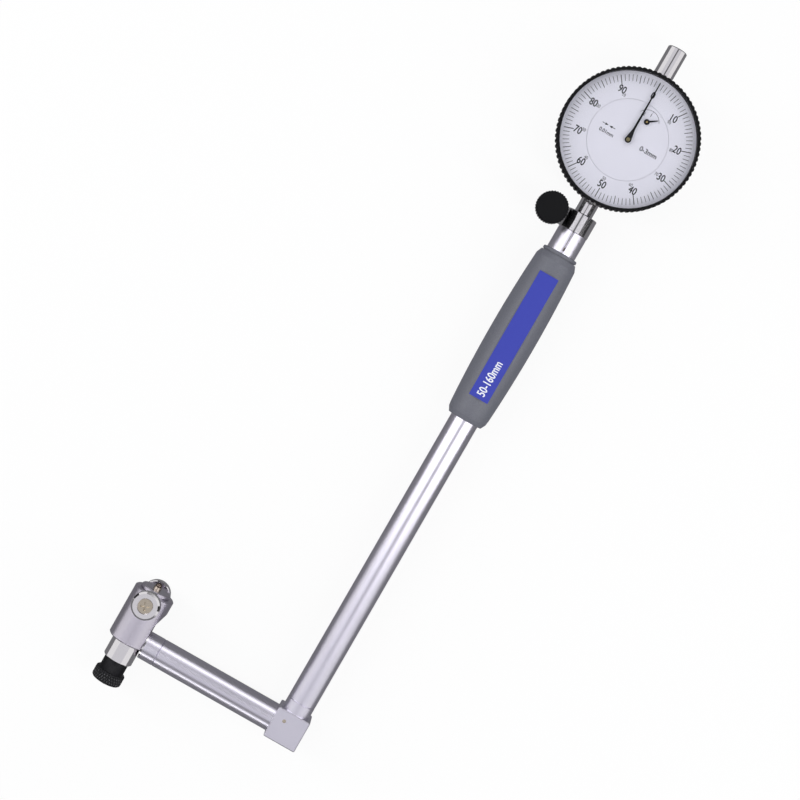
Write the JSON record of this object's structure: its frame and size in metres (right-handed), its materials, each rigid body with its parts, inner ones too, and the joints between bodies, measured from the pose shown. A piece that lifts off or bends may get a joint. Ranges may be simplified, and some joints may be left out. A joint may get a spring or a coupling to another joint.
{
  "type": "dial bore gauge",
  "caption": "Right-angled dial bore gauge: dial indicator on a long tube with a grip, and a short arm carrying a measuring head with a centralising bridge.",
  "frame": {"origin": "centre of the bounding box in X and Y, at the lowest point in Z, where the gauge lies on its back", "axes": "+Y along the long tube towards the dial, -X along the arm towards the measuring head, +Z out of the dial's face"},
  "size_m": [0.116, 0.352, 0.033],
  "materials": {
    "satin_aluminium": "fine satin, pale lavender grey",
    "chrome": "bright chrome plate",
    "satin_chrome": "satin chrome plate on the case",
    "steel": "ground steel",
    "carbide": "polished carbide, brownish",
    "spring_steel": "drawn wire",
    "brass": "turned brass",
    "grip_plastic": "fine-grained dark grey moulded plastic",
    "blue_label": "printed blue foil label",
    "black_plastic": "black, moulded",
    "black_steel": "blackened, knurled",
    "dial_white": "white print on a metal disc",
    "black_hands": "black enamelled hands",
    "hub_brass": "polished",
    "crystal": "clear"
  },
  "bodies": {
    "frame": {"main_tube": "satin_aluminium", "tube_fitting": "satin_aluminium", "corner_block": "satin_aluminium", "corner_crank_pin": "steel", "arm_root_fitting": "steel", "arm_tube": "satin_aluminium", "arm_end_fitting": "satin_aluminium", "lock_ring": "chrome", "rod_guide": "brass", "head_core": "chrome", "core_cap": "chrome", "head_crank_pin": "steel", "anvil": "steel", "anvil_ball": "carbide", "grip": "grip_plastic", "label": "blue_label", "dial_holder": "satin_aluminium", "clamp_ring": "chrome", "stem": "chrome", "dial_case": "satin_chrome", "back_cover": "satin_chrome", "back_cover_screws": "steel", "spindle_guard": "chrome", "centre_dial": "dial_white", "front_plate": "brass", "back_plate": "brass", "push_rod_spring": "spring_steel", "bridge_spring": "spring_steel", "return_spring": "spring_steel"},
    "long_rod": {"long_push_rod": "steel"},
    "arm_rod": {"arm_push_rod": "steel"},
    "corner_crank": {"corner_crank": "steel"},
    "head_crank": {"head_crank": "steel"},
    "contact": {"contact_plunger": "steel", "contact_ball": "carbide"},
    "spindle": {"spindle": "steel", "spindle_sleeve": "brass", "spindle_guide_pin": "steel", "contact_point": "steel"},
    "rack_gear": {"rack_gear": "brass"},
    "pointer": {"pointer_arbor": "brass", "main_pointer": "black_hands", "pointer_boss": "hub_brass"},
    "counter": {"counter_gear": "brass", "counter_hand": "black_hands", "hairspring": "spring_steel"},
    "bezel": {"bezel": "black_plastic", "crystal": "crystal", "scale_ring": "dial_white"},
    "clamp_knob": {"clamp_screw": "steel", "clamp_knob": "black_plastic"},
    "bridge": {"centralising_bridge": "satin_aluminium", "roller_screws": "steel"},
    "front_roller": {"front_roller": "chrome"},
    "back_roller": {"back_roller": "chrome"},
    "lock_nut": {"lock_nut": "black_steel"}
  },
  "joints": [
    {"name": "push_rod_slide", "type": "slide", "parent": "frame", "child": "long_rod", "axis": [0, 1, 0], "range_m": [0, 0.0016], "stiffness_N_per_m": 300, "springref_m": -0.002, "deforming": ["push_rod_spring"]},
    {"name": "contact_slide", "type": "slide", "parent": "frame", "child": "contact", "axis": [0, -1, 0], "range_m": [0, 0.0016]},
    {"name": "arm_rod_slide", "type": "slide", "parent": "frame", "child": "arm_rod", "axis": [1, 0, 0], "range_m": [0, 0.0016]},
    {"name": "corner_crank_pivot", "type": "hinge", "parent": "frame", "child": "corner_crank", "pos_m": [0.0256, -0.1497, 0.0165], "axis": [0, 0, 1], "range_deg": [0, 34]},
    {"name": "head_crank_pivot", "type": "hinge", "parent": "frame", "child": "head_crank", "pos_m": [-0.0463, -0.1497, 0.0165], "axis": [0, 0, 1], "range_deg": [0, 34]},
    {"name": "spindle_slide", "type": "slide", "parent": "frame", "child": "spindle", "axis": [0, 1, 0], "range_m": [0, 0.0016], "deforming": ["return_spring"]},
    {"name": "rack_gear_turn", "type": "hinge", "parent": "frame", "child": "rack_gear", "pos_m": [0.02514, 0.1225, 0.0165], "axis": [0, 0, 1], "range_deg": [0, 58]},
    {"name": "pointer_turn", "type": "hinge", "parent": "frame", "child": "pointer", "pos_m": [0.0283, 0.1326, 0.0165], "axis": [0, 0, 1], "range_deg": [-577, 0]},
    {"name": "counter_turn", "type": "hinge", "parent": "frame", "child": "counter", "pos_m": [0.03146, 0.1427, 0.0165], "axis": [0, 0, 1], "range_deg": [0, 58]},
    {"name": "bezel_turn", "type": "hinge", "parent": "frame", "child": "bezel", "pos_m": [0.0283, 0.1326, 0.0165], "axis": [0, 0, 1], "continuous": true},
    {"name": "clamp_knob_turn", "type": "hinge", "parent": "frame", "child": "clamp_knob", "pos_m": [0.0152, 0.0933, 0.0165], "axis": [0, 0, 1], "range_deg": [0, 360]},
    {"name": "bridge_slide", "type": "slide", "parent": "frame", "child": "bridge", "axis": [0, -1, 0], "range_m": [0, 0.0035], "stiffness_N_per_m": 500, "springref_m": -0.003, "deforming": ["bridge_spring"]},
    {"name": "front_roller_turn", "type": "hinge", "parent": "bridge", "child": "front_roller", "pos_m": [-0.049, -0.1341, 0.0165], "axis": [0, 0, 1], "continuous": true},
    {"name": "back_roller_turn", "type": "hinge", "parent": "bridge", "child": "back_roller", "pos_m": [-0.049, -0.1341, 0.0165], "axis": [0, 0, 1], "continuous": true},
    {"name": "lock_nut_turn", "type": "hinge", "parent": "frame", "child": "lock_nut", "pos_m": [-0.049, -0.1684, 0.0165], "axis": [0, 1, 0], "range_deg": [0, 360]}
  ],
  "couplings": [
    {"joint": "contact_slide", "follows": "push_rod_slide", "ratio": 1},
    {"joint": "arm_rod_slide", "follows": "push_rod_slide", "ratio": 1},
    {"joint": "spindle_slide", "follows": "push_rod_slide", "ratio": 1},
    {"joint": "corner_crank_pivot", "follows": "push_rod_slide", "rad_per_m": 370.37},
    {"joint": "head_crank_pivot", "follows": "push_rod_slide", "rad_per_m": 370.37},
    {"joint": "rack_gear_turn", "follows": "push_rod_slide", "rad_per_m": 628.32},
    {"joint": "counter_turn", "follows": "push_rod_slide", "rad_per_m": 628.32},
    {"joint": "pointer_turn", "follows": "push_rod_slide", "rad_per_m": -6283.2}
  ]
}
